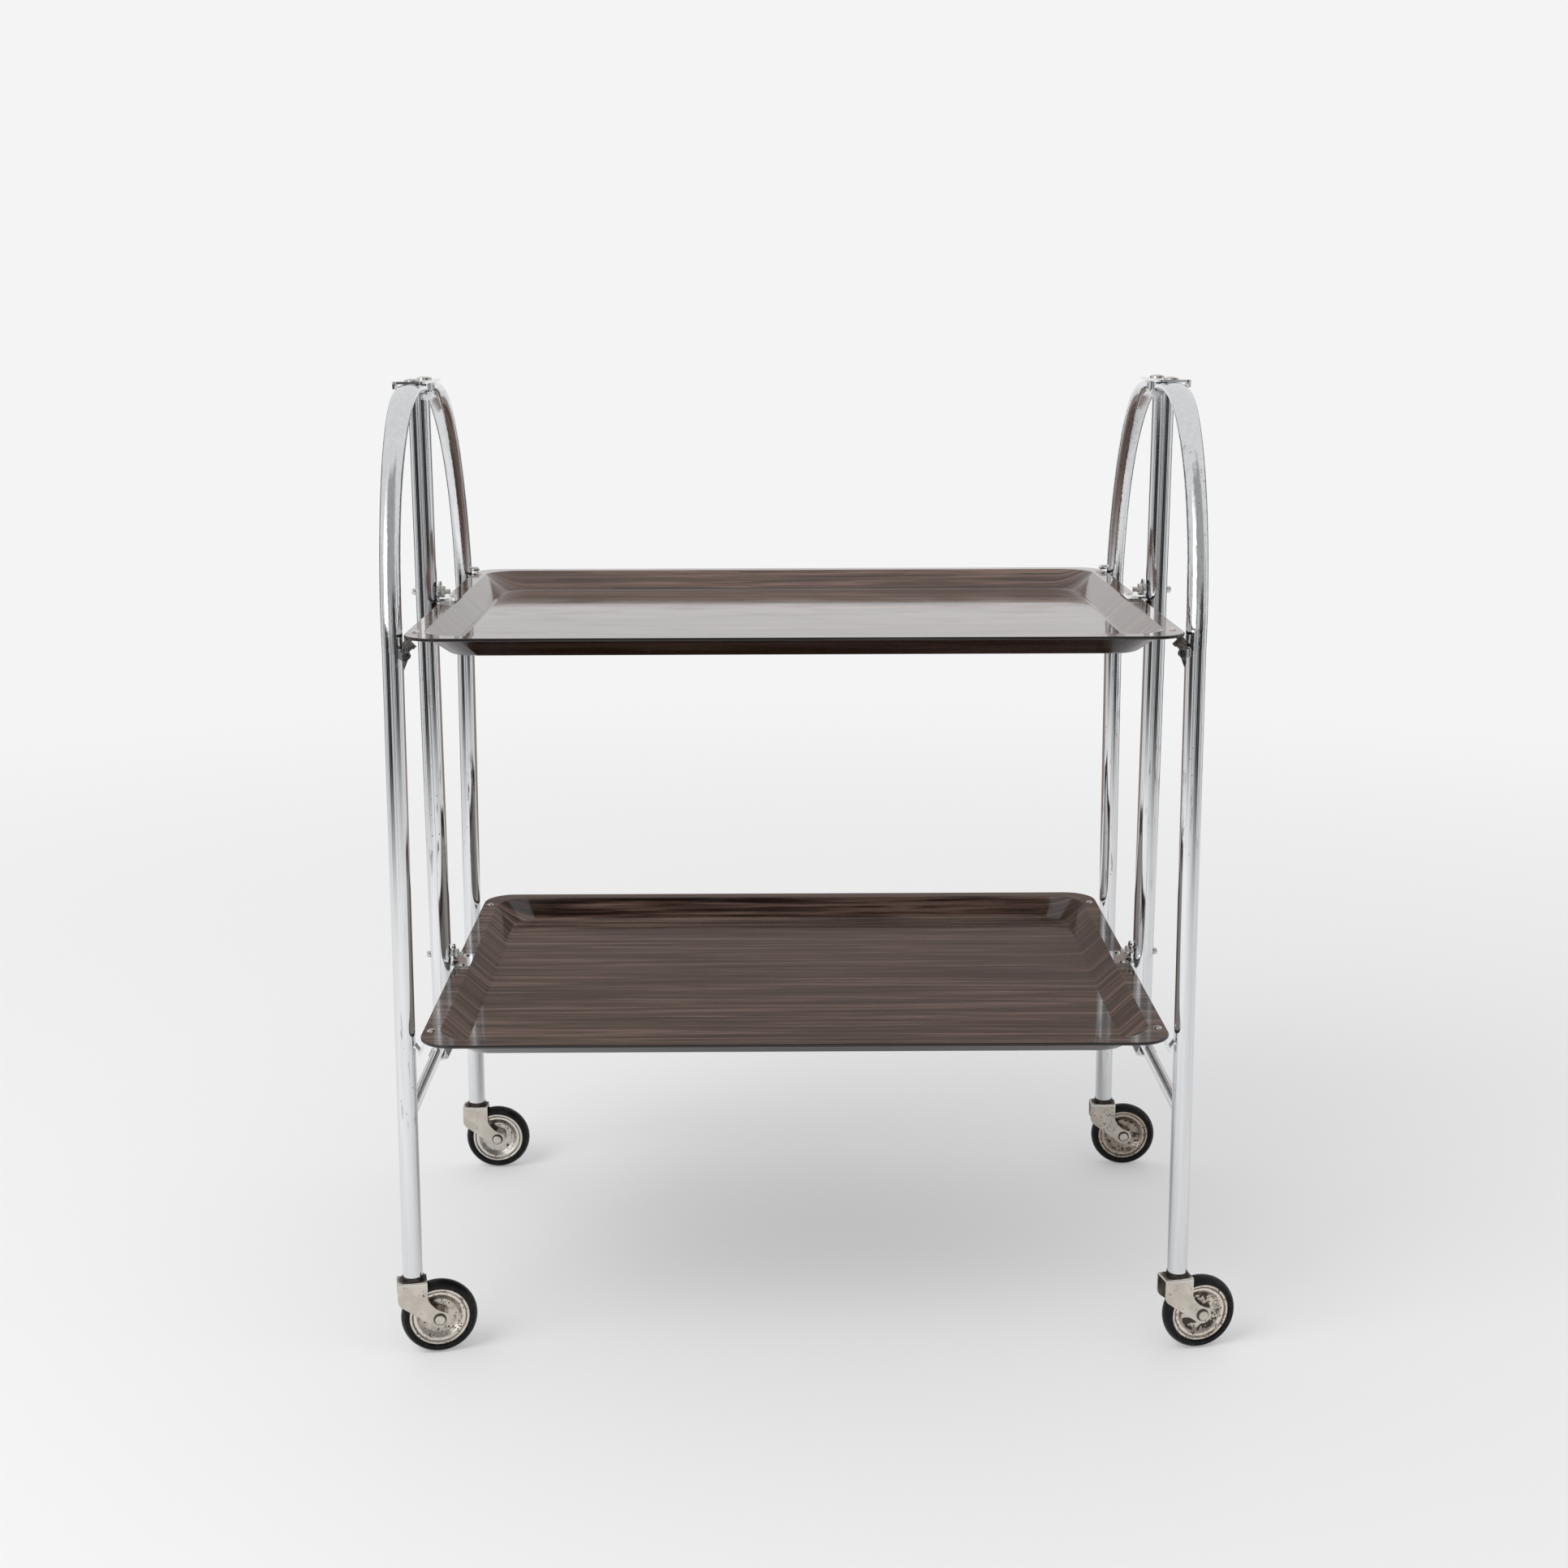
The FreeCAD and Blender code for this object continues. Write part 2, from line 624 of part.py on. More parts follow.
def make_latches():
    """Levers that hold up the catches of the top tray, with their pins and the lugs on the legs."""
    tab_top = top_rim_z - tray_sheet - corner_plate_sheet - catch_drop - catch_gap
    pin_z = tab_top - latch_tab_rise
    front = -leg_y - leg_radius - latch_lug_sheet
    pins = []
    for side_name, side in SIDES.items():
        pin_x = side * (tray_half_length - latch_inset)
        pin_line = Vector(pin_x, front, pin_z)
        low_z = pin_z - latch_lug_radius
        arm_end = pin_x + side * latch_lug_reach
        lug = Part.makeCylinder(latch_lug_radius, latch_lug_sheet, pin_line, Y_AXIS)
        arm = block((pin_x, arm_end), (front, front + latch_lug_sheet), (low_z, pin_z + latch_lug_radius))
        web = block((arm_end - side * latch_lug_web, arm_end), (front, -leg_y - latch_lug_setback),
                    (low_z, pin_z + latch_lug_radius))
        hole = rod(latch_pin_radius + fixed_gap, pin_line + Y_AXIS * overrun, pin_line - Y_AXIS * overrun)
        lug = lug.fuse([arm, web]).cut(leg_core(side, -1)).cut(hole)
        export(lug, f"latch_lug_{side_name}")

        back = front - touch_gap
        plate = latch_plate(side, Vector(pin_x, back, pin_z)).extrude(Y_AXIS * -latch_sheet)
        tab = block((pin_x - side * latch_inner, pin_x + side * latch_tab_outer),
                    (back - latch_sheet, back + latch_tab_depth), (tab_top - latch_tab_sheet, tab_top))
        bore = latch_pin_radius + running_clearance
        lever_hole = rod(bore, pin_line + Y_AXIS * latch_lug_sheet, pin_line - Y_AXIS * overrun)
        export(plate.fuse(tab).cut(lever_hole), f"latch_lever_{side_name}")

        run = latch_sheet + 2 * touch_gap
        head = latch_pin_head_height
        outline = ((-latch_lug_sheet - head, 0), (-latch_lug_sheet - head, latch_pin_head_radius),
                   (-latch_lug_sheet, latch_pin_head_radius), (-latch_lug_sheet, latch_pin_radius),
                   (run, latch_pin_radius), (run, latch_pin_head_radius),
                   (run + head, latch_pin_radius), (run + head, 0))
        pins.append(revolved(outline, pin_line, Y_AXIS * -1))
    compound_export(pins, "latch_pins")


def make_rests():
    """Bent rests under the front of the lower tray, and round stops above the rear of the top tray."""
    rests = []
    stops = []
    rest_top = lower_rim_z - tray_sheet - corner_plate_sheet - touch_gap
    for side in SIDES.values():
        root_x = leg_point(side, -1, rest_top).x
        leg_face = root_x - side * leg_radius
        tip_x = leg_face - side * rest_reach
        apex_x = leg_face - side * rest_apex_reach
        root_z = rest_top - rest_root_drop
        apex_z = rest_top - rest_apex_drop
        outline = ((root_x, root_z), (leg_face, root_z), (apex_x, apex_z), (tip_x, rest_top),
                   (tip_x + side * rest_sheet, rest_top), (apex_x, apex_z + rest_throat),
                   (leg_face, root_z + rest_sheet), (root_x, root_z + rest_sheet))
        points = [Vector(x, -leg_y - rest_width / 2, z) for x, z in outline]
        rest = Part.Face(Part.makePolygon(points + points[:1])).extrude(Y_AXIS * rest_width)
        rests.append(max(rest.cut(leg_core(side, -1)).Solids, key=lambda solid: solid.Volume))

        stop_z = top_rim_z + rivet_head_height + stop_radius
        turn = math.asin((stop_z - leg_shoulder_z) / (arch_plate_z - leg_shoulder_z)) / (math.pi / 2)
        root = arch_point(side, 1, turn)
        tip = root - X_AXIS * (side * (leg_radius + stop_reach))
        stop = rod(stop_radius, root, tip).fuse(Part.makeSphere(stop_radius, tip))
        arch_core = Part.makeCylinder(leg_radius + stop_weld_gap, 2 * overrun, root - Z_AXIS * overrun)
        stops.append(stop.cut(arch_core))
    compound_export(rests, "lower_tray_rests")
    compound_export(stops, "top_tray_stops")


def fork_shape():
    """Sheet fork, trailing along +X: S-shaped cheeks under a bent top, about the swivel axis."""
    lobe = Vector(caster_trail, 0, wheel_radius)
    low = fork_lobe_radius * math.cos(math.pi / 4)
    heel_low = Vector(lobe.x - low, 0, lobe.z - low)
    lobe_tip = Vector(lobe.x + low, 0, lobe.z - low)
    lobe_top = Vector(lobe.x + low, 0, lobe.z + low)
    waist = Vector(fork_front, 0, fork_waist_z)
    corners = (Vector(fork_front, 0, fork_top_z), Vector(-fork_back, 0, fork_top_z),
               Vector(-fork_back, 0, fork_heel_z))
    middle = (waist + lobe_top) / 2
    bend = middle - Vector(low, 0, low) * fork_bend_share
    edges = [
        Part.LineSegment(corners[0], corners[1]).toShape(),
        Part.LineSegment(corners[1], corners[2]).toShape(),
        Part.LineSegment(corners[2], heel_low).toShape(),
        Part.Arc(heel_low, Vector(lobe.x, 0, lobe.z - fork_lobe_radius), lobe_tip).toShape(),
        Part.Arc(lobe_tip, Vector(lobe.x + fork_lobe_radius, 0, lobe.z), lobe_top).toShape(),
        Part.Arc(lobe_top, bend, waist).toShape(),
        Part.LineSegment(waist, corners[0]).toShape()]
    half = tyre_width / 2 + fork_gap
    cheek = Part.Face(Part.Wire(edges))
    cheek.translate(Y_AXIS * -(half + fork_sheet))
    fork = cheek.extrude(Y_AXIS * (2 * (half + fork_sheet)))
    upright = [e for e in fork.Edges if abs(e.BoundBox.YLength - 2 * (half + fork_sheet)) < fixed_gap
               and abs(e.CenterOfMass.x + fork_back) < fixed_gap
               and e.CenterOfMass.z < fork_top_z - fork_sheet]
    fork = fork.makeFillet(fork_lobe_radius, upright)
    rims = [e for e in fork.Edges if abs(e.CenterOfMass.z - fork_top_z) < fixed_gap
            and e.BoundBox.XLength > fork_back]
    fork = fork.makeFillet(fork_edge_radius, rims)
    inside = block((-fork_back - overrun, caster_trail + wheel_radius), (-half, half),
                   (0, fork_top_z - fork_sheet))
    fork = fork.cut(inside)
    stem_base = Vector(0, 0, fork_top_z - overrun)
    fork = fork.cut(Part.makeCylinder(stem_radius + running_clearance, 2 * overrun, stem_base))
    span = half + fork_sheet + overrun
    return fork.cut(Part.makeCylinder(axle_radius + fixed_gap, 2 * span, lobe - Y_AXIS * span, Y_AXIS))


def stem_shape():
    """Swivel stem: set head under the fork, collar above it, plug up into the leg."""
    collar = fork_top_z + touch_gap
    under = fork_top_z - fork_sheet - touch_gap
    bore = leg_radius - leg_wall - fixed_gap
    plug = bore - stem_plug_gap
    seat = leg_foot_z - touch_gap
    tip = leg_foot_z + stem_plug_length
    outline = ((under - stem_head_height, 0), (under - stem_head_height, stem_head_radius),
               (under, stem_head_radius), (under, stem_radius), (collar, stem_radius),
               (collar, stem_collar_radius), (seat, stem_collar_radius), (seat, plug), (tip, plug), (tip, 0))
    return revolved(outline, Vector(0, 0, 0), Z_AXIS)


def tyre_shape():
    """Rubber ring with a crowned tread."""
    half = tyre_width / 2
    inner = wheel_radius - tyre_thickness
    shoulder = wheel_radius - tyre_crown
    corners = (Vector(0, half, shoulder), Vector(0, half, inner),
               Vector(0, -half, inner), Vector(0, -half, shoulder))
    crown = Part.Arc(corners[-1], Vector(0, 0, wheel_radius), corners[0]).toShape()
    sides = [Part.LineSegment(a, b).toShape() for a, b in zip(corners, corners[1:])]
    return Part.Face(Part.Wire([crown] + sides)).revolve(Vector(0, 0, 0), Y_AXIS, 360)


def disc_shape():
    """Stamped wheel disc: rolled bead, raised flange, dished web and a hub that runs on the axle."""
    rim = wheel_radius - tyre_thickness - fixed_gap
    bore = axle_radius + running_clearance
    half_outline = ((disc_web / 2, rim), (disc_width / 2, rim),
                    (disc_width / 2, rim - disc_bead_depth), (disc_flange_width / 2, rim - disc_groove_depth),
                    (disc_flange_width / 2, rim - disc_flange_depth), (disc_web / 2, rim - disc_dish_depth),
                    (disc_web / 2, hub_radius), (hub_width / 2, hub_radius), (hub_width / 2, bore))
    rounds = {1: disc_bead_round, 2: disc_bead_round, 4: disc_flange_round, 5: disc_dish_round}
    return mirrored_turn(softened(half_outline, rounds))


def axle_shape():
    """Axle riveted through both cheeks, with domed heads."""
    half = tyre_width / 2 + fork_gap + fork_sheet + fixed_gap
    head = half + axle_head_height
    half_outline = ((head, 0), (head, axle_head_radius), (half, axle_head_radius), (half, axle_radius))
    return mirrored_turn(softened(half_outline, {1: axle_head_round}))


def make_casters():
    """Four casters, each turned a little differently about its stem."""
    wheel_centre = Vector(caster_trail, 0, wheel_radius)
    for side_name, side in SIDES.items():
        for end_name, end in ENDS.items():
            corner = f"{end_name}_{side_name}"
            foot = leg_point(side, end, leg_foot_z)
            pieces = {"fork": fork_shape(), "stem": stem_shape()}
            for name, shape in (("tyre", tyre_shape()), ("disc", disc_shape()), ("axle", axle_shape())):
                shape.translate(wheel_centre)
                pieces[name] = shape
            for name, shape in pieces.items():
                shape.rotate(Vector(0, 0, 0), Z_AXIS, caster_yaw_degrees[corner])
                shape.translate(Vector(foot.x, foot.y, 0))
                export(shape, f"caster_{name}_{corner}")


os.makedirs("parts", exist_ok=True)
make_posts()
make_legs()
make_top_brackets()
make_foot_hinges()
make_trays()
make_latches()
make_rests()
make_casters()
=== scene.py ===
"""Looks of the folding serving trolley: finishes, floor, studio light and camera.

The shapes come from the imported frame. Lengths are in metres, in the part's own frame."""

import json
import math

import bpy
from mathutils import Matrix, Vector

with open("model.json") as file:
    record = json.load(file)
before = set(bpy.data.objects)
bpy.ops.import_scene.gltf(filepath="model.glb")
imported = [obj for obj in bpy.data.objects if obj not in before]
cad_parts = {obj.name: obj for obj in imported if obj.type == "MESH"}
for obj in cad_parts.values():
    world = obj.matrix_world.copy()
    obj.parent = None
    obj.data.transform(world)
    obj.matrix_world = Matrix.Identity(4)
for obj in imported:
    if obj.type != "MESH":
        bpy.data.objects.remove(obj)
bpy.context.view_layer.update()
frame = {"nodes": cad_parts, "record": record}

# Camera, from a fit on the tubes, tray edges and wheels of the photograph
PHOTO_SIZE = 1932
FOCAL_PIXELS = 2600.0
SENSOR_WIDTH = 36.0
CAMERA_PLACE = Vector((-0.0190, -1.7857, 0.8327))
CAMERA_PITCH = 0.2202
CAMERA_YAW = 0.0067
CAMERA_ROLL = -0.0024

# Backdrop and floor; the floor fades into the backdrop and, for reflections, into the room
BACKDROP = (0.905, 0.905, 0.912)
DOME_STRENGTH = 0.86
FLOOR_COLOUR = (0.86, 0.86, 0.86)
FLOOR_RADIUS = 40.0
FLOOR_CORNERS = 128
FLOOR_FADE = (0.55, 3.0)
FLOOR_LIFT = 0.3
FLOOR_TO_ROOM = (1.2, 2.9)

# What polished surfaces mirror at the height of the part, as (degrees from the front, brightness):
# dark doorways, each with a thin lit line, either side of a grey middle in front, a light wall at
# each side, dark corners and a light wall behind
ROOM_BANDS = (
    (-160, 0.98), (-150, 0.16), (-130, 0.16), (-120, 0.95), (-70, 1.0),
    (-63, 0.02), (-54, 0.02), (-52, 0.22), (-50, 0.22), (-48, 0.02), (-35, 0.04),
    (-29, 0.82), (22, 0.72),
    (28, 0.03), (38, 0.03), (40, 0.22), (42, 0.22), (44, 0.03), (55, 0.05),
    (62, 0.95), (120, 0.95), (130, 0.16), (150, 0.16), (160, 0.98),
)
# Fine upright lines in the room: their count, the turn from the front at which they end, and the
# step from noise to brightness
ROOM_LINES = 48.0
ROOM_LINES_END = (1.7, 2.2)
ROOM_LINES_STEP = (0.40, 0.60, 0.14, 1.32)
# The room in front is dimmer further off; it gives way to what is behind along Y
ROOM_DEEP = (1.8, 5.0)
ROOM_DEEP_LEVEL = 0.70
ROOM_FRONT = (-0.4, 0.4)
# Seen above the horizon, as turns from the front in radians and heights: a ceiling, a dim far wall
# and a tall bright window
HORIZON = (0.10, 0.28)
CEILING = 0.86
FAR_WALL = {"turn": 0.25, "widths": (0.70, 1.20), "heights": (0.88, 0.98)}
FAR_WALL_LEVEL = 0.42
WINDOW = {"turn": -0.80, "widths": (0.26, 0.46), "heights": (0.50, 0.82)}
WINDOW_LEVEL = 1.8

# Card that shades what the lower tray mirrors, seen by reflections only; its fades are in shares
# of its width and height
CARD_PLACE = (0.0, 0.36, 0.40)
CARD_SIZE = (1.1, 0.36)
CARD_FADES = {"X": (0.32, 0.5), "Y": (0.34, 0.5)}
CARD_LEVEL = 0.30
CARD_COLOUR = (0.94, 0.77, 0.70)

# Colours of the finishes; those called TINTS are (level of the noise, colour) stops
CHROME_TINTS = ((0.34, (0.73, 0.74, 0.755)), (0.52, (0.785, 0.795, 0.805)),
                (0.70, (0.83, 0.84, 0.85)))
CHROME_SPECK = (0.12, 0.11, 0.10)
RIVET_PLATE = (0.72, 0.70, 0.66)
RIVET_DIRT = (0.30, 0.26, 0.21)
WOOD_TINTS = ((0.41, (0.013, 0.007, 0.005)), (0.47, (0.042, 0.024, 0.018)),
              (0.52, (0.088, 0.054, 0.042)), (0.58, (0.172, 0.112, 0.088)))
# The next colour is painted light: a paler brown that makes the top tray lighter than the lower
# one.
WOOD_LIT = (0.235, 0.130, 0.085)
WOOD_PORE = (0.010, 0.006, 0.004)
# The next colour is for the bare edge of a tray, and also for the painted shade on its undersides.
WOOD_BARE_AND_SHADE = (0.006, 0.003, 0.002)
WOOD_SCUFF = (0.30, 0.26, 0.22)
NICKEL_TINTS = ((0.60, 0.55, 0.48), (0.76, 0.71, 0.64))
# The next colour is a painted highlight, on the fold along a fork's top.
NICKEL_HIGHLIGHT = (0.94, 0.91, 0.86)
# The next two colours are for pits, and also for the painted shade mixed in with them.
NICKEL_PIT_AND_SHADE = (0.050, 0.038, 0.029)
DISC_PIT_AND_SHADE = (0.045, 0.033, 0.024)
STEM_TINTS = ((0.35, (0.012, 0.010, 0.009)), (0.70, (0.075, 0.060, 0.048)))
TYRE_BLACK = (0.005, 0.005, 0.006)
TYRE_DUST = (0.022, 0.021, 0.021)
LACQUER_BLACK = (0.014, 0.014, 0.015)
LACQUER_CHIP = (0.45, 0.43, 0.40)
LATCH_TINTS = ((0.36, (0.05, 0.047, 0.043)), (0.62, (0.23, 0.22, 0.205)))
LATCH_BLACK = (0.016, 0.015, 0.014)

# Trays: half sizes, radius of the corners and width of the dark bare edge
TRAY_HALF = (0.297, 0.220)
TRAY_CORNER = 0.027
TRAY_EDGE = 0.0014
# Heights between which the lower tray's grain gives way to the top tray's, how far apart the two
# are cut, and the share of a paler brown in the top tray, painted light that makes it lighter than
# the lower tray
BETWEEN_TRAYS = (0.40, 0.45)
TOP_TRAY_GRAIN = 1.37
TOP_TRAY_LIT = 0.15
# Tilts between which a tray's underside ends, as heights of the normal, and its share of painted
# shade
UNDERSIDE_TILT = (-0.35, -0.05)
UNDERSIDE_SHADE = 0.85

# Forks and axles: roughness of the nickel plate and the share of pits at each corner
NICKEL_ROUGHNESS = 0.26
NICKEL_PITS = {"front_left": 0.11, "front_right": 0.13, "rear_left": 0.06, "rear_right": 0.20}
# Grime and painted shade in corners sit where a surface's open share is below the first level, and
# are gone at the second
GRIME_AND_SHADE_OPEN = (0.55, 0.94)
GRIME_AND_SHADE_REACH = 0.004
# Darker patch on top of the forks: the stem's place in one quarter, the distances at which it
# starts to fade and ends, how ragged it is, and the tilts between which a fork's top begins
STEM_PLACE = (0.3115, 0.194, 0.0645)
STEM_DARK_PATCH = (0.0115, 0.0150)
STEM_DARK_PATCH_RAGGED = 0.002
STEM_DARK_PATCH_TILT = (0.6, 0.9)
# Heights between which the painted highlight on the fold along a fork's top begins, and tilts
# between which it ends
FORK_FOLD_HIGHLIGHT = (0.0622, 0.0630)
FORK_FOLD_HIGHLIGHT_TILT = (0.8, 0.95)
# Painted shade round each axle head: a painted shadow line on the fork round the head, and a dark
# ring on the head's own edge, by the distance from the axle's line: place, width and level
FORK_SHADOW_RING = (0.0051, 0.0003, 0.7)
AXLE_SHADE_RING = (0.0046, 0.0008, 1.0)

# Wheel discs, by the distance from the wheel's centre: edge of the dish and its raggedness, and
# rings of painted shade in the grooves as (place, width, level); the rim is painted brighter than
# the dish by a factor, as a painted highlight
DISC_DISH = (0.0180, 0.0200)
DISC_DISH_RAGGED = 0.002
DISC_RIM_HIGHLIGHT_GAIN = 1.6
DISC_SHADE_RINGS = ((0.0221, 0.0009, 0.9), (0.0248, 0.0006, 0.5), (0.0182, 0.0010, 0.45))
# Wear of each disc: share of pits, share of brown blotches and tint of the dish
DISC_WEAR = {
    "front_left": (0.16, 0.06, (0.50, 0.46, 0.41)),
    "front_right": (0.20, 0.17, (0.52, 0.47, 0.41)),
    "rear_left": (0.06, 0.03, (0.52, 0.49, 0.45)),
    "rear_right": (0.14, 0.10, (0.36, 0.31, 0.26)),
}
# Shares of the dark marks (pits and blotches, and the painted shade mixed in with them) between
# which plated metal gives way to a dull surface, and how metallic each is
MARKED_DULLS = (0.2, 0.9, 1.0, 0.1)

# Nodes whose finish isn't that of their slot
OTHER_FINISH = {"latch_pins": "black_lacquer", "latch_lever_left": "latch_steel",
                "latch_lever_right": "latch_steel"}

# Depths of bump
FINE_DEPTH = 0.0002
GREASE_DEPTH = 0.0003
PIT_DEPTH = 0.0004


class Nodes:
    """A node tree that is put together by short calls."""

    def __init__(self, tree):
        self.tree = tree

    def node(self, kind, inputs=None, **settings):
        made = self.tree.nodes.new(kind)
        for key, value in settings.items():
            setattr(made, key, value)
        for key, value in (inputs or {}).items():
            self.feed(made.inputs[key], value)
        return made

    def feed(self, socket, value):
        """Link an output into a socket, or set the socket to a plain value."""
        if isinstance(value, bpy.types.NodeSocket):
            self.tree.links.new(value, socket)
        else:
            socket.default_value = value

    def math(self, operation, a, b=0.0):
        return self.node("ShaderNodeMath", {0: a, 1: b}, operation=operation).outputs[0]

    def sum(self, a, b):
        return self.math("ADD", a, b)

    def less(self, a, b):
        return self.math("SUBTRACT", a, b)

    def times(self, a, b):
        return self.math("MULTIPLY", a, b)

    def size(self, value):
        """The value without its sign."""
        return self.math("ABSOLUTE", value)

    def highest(self, first, *others):
        for other in others:
            first = self.math("MAXIMUM", first, other)
        return first

    def vector(self, operation, *values):
        """A vector operation; the measuring ones give a number."""
        made = self.node("ShaderNodeVectorMath", dict(enumerate(values)), operation=operation)
        return made.outputs["Value" if operation in ("DISTANCE", "LENGTH") else "Vector"]

    def parts(self, vector):
        """X, Y and Z of a vector, by these letters."""
        return self.node("ShaderNodeSeparateXYZ", {0: vector}).outputs

    def between(self, value, low, high, to_low=0.0, to_high=1.0):
        """Smooth step from to_low at low to to_high at high."""
        made = self.node("ShaderNodeMapRange", {"Value": value, "From Min": low, "From Max": high,
                                                "To Min": to_low, "To Max": to_high},
                         interpolation_type="SMOOTHSTEP")
        return made.outputs["Result"]

    def fading(self, value, full, gone, level=1.0):
        """Smooth step down from level at full to 0 at gone."""
        return self.between(value, full, gone, level, 0.0)

    def blend(self, share, first, second):
        """Number between first and second."""
        made = self.node("ShaderNodeMix", {0: share, 2: first, 3: second}, data_type="FLOAT")
        return made.outputs[0]

    def ramp(self, value, stops):
        """Colours along a value, given as (place, colour) pairs."""
        made = self.node("ShaderNodeValToRGB", {"Fac": value})
        elements = made.color_ramp.elements
        while len(elements) < len(stops):
            elements.new(0.5)
        for element, (place, colour) in zip(elements, stops):
            element.position = place
            element.color = (*colour, 1.0)
        return made.outputs["Color"]

    def turn(self, way):
        """Angle from the front, in radians, of a way given by its parts."""
        return self.math("ARCTAN2", way["X"], self.times(way["Y"], -1.0))

    def room(self, spot):
        """Brightness of the mirrored room, by the way from the part to a spot."""
        turn = self.turn(self.parts(spot))
        share = self.sum(self.times(turn, 0.5 / math.pi), 0.5)
        stops = [(0.5 + degrees / 360, (level,) * 3) for degrees, level in ROOM_BANDS]
        bands = self.ramp(share, stops)
        lines = self.node("ShaderNodeTexNoise", {"W": self.times(share, ROOM_LINES), "Scale": 1.0,
                                                 "Detail": 3.0, "Roughness": 0.65},
                          noise_dimensions="1D").outputs["Fac"]
        ahead = self.fading(self.size(turn), *ROOM_LINES_END)
        return self.times(bands, self.blend(ahead, 1.0, self.between(lines, *ROOM_LINES_STEP)))


class Shader(Nodes):
    """A material of nodes, whose place is the spot on the piece."""

    def __init__(self, name):
        self.material = bpy.data.materials.new(name)
        self.material.use_nodes = True
        super().__init__(self.material.node_tree)
        self.surface = self.tree.nodes["Principled BSDF"]
        coordinates = self.node("ShaderNodeTexCoord").outputs
        self.place = coordinates["Object"]
        self.normal = coordinates["Normal"]

    def set(self, **values):
        """Feed the surface: names are the sockets' names with underscores for spaces."""
        for key, value in values.items():
            self.feed(self.surface.inputs[key.replace("_", " ")], value)

    def show(self, closure):
        """Show a closure in place of the surface."""
        output = next(n for n in self.tree.nodes if n.type == "OUTPUT_MATERIAL")
        self.tree.links.new(closure, output.inputs["Surface"])

    def bump(self, height, strength, depth):
        """Feed a height, in shares of depth, into the surface's normal."""
        made = self.node("ShaderNodeBump", {"Height": height, "Strength": strength,
                                            "Distance": depth})
        self.set(Normal=made.outputs["Normal"])

    def stretched(self, counts):
        """The place times counts per metre: one for all ways, or one each along X, Y and Z."""
        scale = counts if isinstance(counts, tuple) else (counts,) * 3
        return self.vector("MULTIPLY", self.place, scale)

    def noise(self, counts, detail=3.0, roughness=0.5, distortion=0.0):
        made = self.node("ShaderNodeTexNoise", {"Vector": self.stretched(counts), "Scale": 1.0,
                                                "Detail": detail, "Roughness": roughness,
                                                "Distortion": distortion})
        return made.outputs["Fac"]

    def patches(self, counts, start, full, level=1.0, **noise):
        """Patches of noise: 0 where it is below start, rising to level at full."""
        return self.between(self.noise(counts, **noise), start, full, 0.0, level)

    def points(self, counts, full, gone):
        """Scattered points: 1 closer than full, 0 from gone on, in shares of their spacing."""
        made = self.node("ShaderNodeTexVoronoi", {"Vector": self.stretched(counts), "Scale": 1.0})
        return self.fading(made.outputs["Distance"], full, gone)

    def mix(self, share, first, second):
        """Colour between first and second."""
        made = self.node("ShaderNodeMix", data_type="RGBA")
        for index, value in ((0, share), (6, first), (7, second)):
            if isinstance(value, tuple):
                value = (*value, 1.0)
            self.feed(made.inputs[index], value)
        return made.outputs[2]

    def upward(self):
        """Height of the normal: 1 where the surface faces up, -1 where it faces down."""
        return self.parts(self.normal)["Z"]

    def off_axle(self, joint):
        """Distance from the line of a wheel's axle."""
        out = self.vector("SUBTRACT", self.place, joint["pos_m"])
        return self.vector("LENGTH", self.vector("CROSS_PRODUCT", out, joint["axis"]))

    def ring(self, away, radius, width, level):
        """Level near a distance, falling to 0 a width away on both sides."""
        return self.fading(self.size(self.less(away, radius)), width / 2, width, level)

    def grime_and_shade(self):
        """Grime and painted shade: 1 deep in the piece's own corners, 0 where the surface is open.
        """
        made = self.node("ShaderNodeAmbientOcclusion", {"Distance": GRIME_AND_SHADE_REACH}, samples=8,
                         only_local=True)
        return self.fading(made.outputs["AO"], *GRIME_AND_SHADE_OPEN)

    def stem_dark_patch(self, clouds):
        """1 on top of a caster fork near its stem, 0 at the plate's corners and on the cheeks."""
        away = self.vector("DISTANCE", self.vector("ABSOLUTE", self.place), STEM_PLACE)
        ragged = self.sum(away, self.times(clouds, STEM_DARK_PATCH_RAGGED))
        over = self.between(self.upward(), *STEM_DARK_PATCH_TILT)
        return self.times(self.fading(ragged, *STEM_DARK_PATCH), over)

    def fold_highlight(self):
        """1 on the fold along the top of a fork, where a painted highlight goes."""
        high = self.between(self.parts(self.place)["Z"], *FORK_FOLD_HIGHLIGHT)
        return self.times(high, self.fading(self.upward(), *FORK_FOLD_HIGHLIGHT_TILT))

    def cut_edge(self, parts):
        """1 on the bare edge of a tray, whose outline is a rectangle with round corners."""
        past = [self.highest(self.less(self.size(parts[axis]), half - TRAY_CORNER), 0.0)
                for axis, half in zip("XY", TRAY_HALF)]
        squares = [self.times(length, length) for length in past]
        out = self.math("SQRT", self.sum(*squares))
        return self.between(out, TRAY_CORNER - TRAY_EDGE, TRAY_CORNER - TRAY_EDGE / 2)


